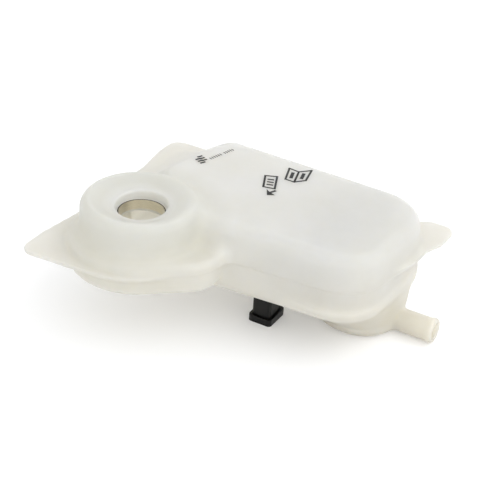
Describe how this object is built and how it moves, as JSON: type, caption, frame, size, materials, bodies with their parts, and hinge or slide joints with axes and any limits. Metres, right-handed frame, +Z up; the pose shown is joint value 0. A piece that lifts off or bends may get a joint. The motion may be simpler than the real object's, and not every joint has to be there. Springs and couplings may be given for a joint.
{
  "type": "coolant expansion tank",
  "caption": "Translucent moulded coolant reservoir with a filler dome, flanged mounting ears, a deep sump with a hose spigot, and a plug-in level sensor with a sliding float.",
  "frame": {"origin": "bottom centre of the whole part's box, on the surface that the sump stands on", "axes": "+X towards the hose spigot, +Y from the filler dome towards the long back edge, +Z up through the filler neck"},
  "size_m": [0.285, 0.225, 0.111],
  "materials": {
    "tank_plastic": "translucent milky natural polypropylene, satin",
    "sleeve_steel": "drawn stainless steel, satin",
    "black_plastic": "black glass-filled nylon, slightly shiny",
    "pin_brass": "tinned brass",
    "seal_rubber": "moulded rubber",
    "switch_glass": "clear glass",
    "float_plastic": "foamed plastic, dull",
    "magnet": "sintered ferrite, dull",
    "clip_plastic": "natural plastic"
  },
  "bodies": {
    "tank": {"upper_shell": "tank_plastic", "lower_shell": "tank_plastic", "neck_sleeve": "sleeve_steel", "sensor_housing": "black_plastic", "contact_pins": "pin_brass", "sensor_seal": "seal_rubber", "reed_switch": "switch_glass", "float_clip": "clip_plastic"},
    "float": {"float_ring": "float_plastic", "float_magnet": "magnet"}
  },
  "joints": [
    {"name": "float_slide", "type": "slide", "parent": "tank", "child": "float", "axis": [0, 0, 1], "range_m": [0, 0.016]}
  ]
}
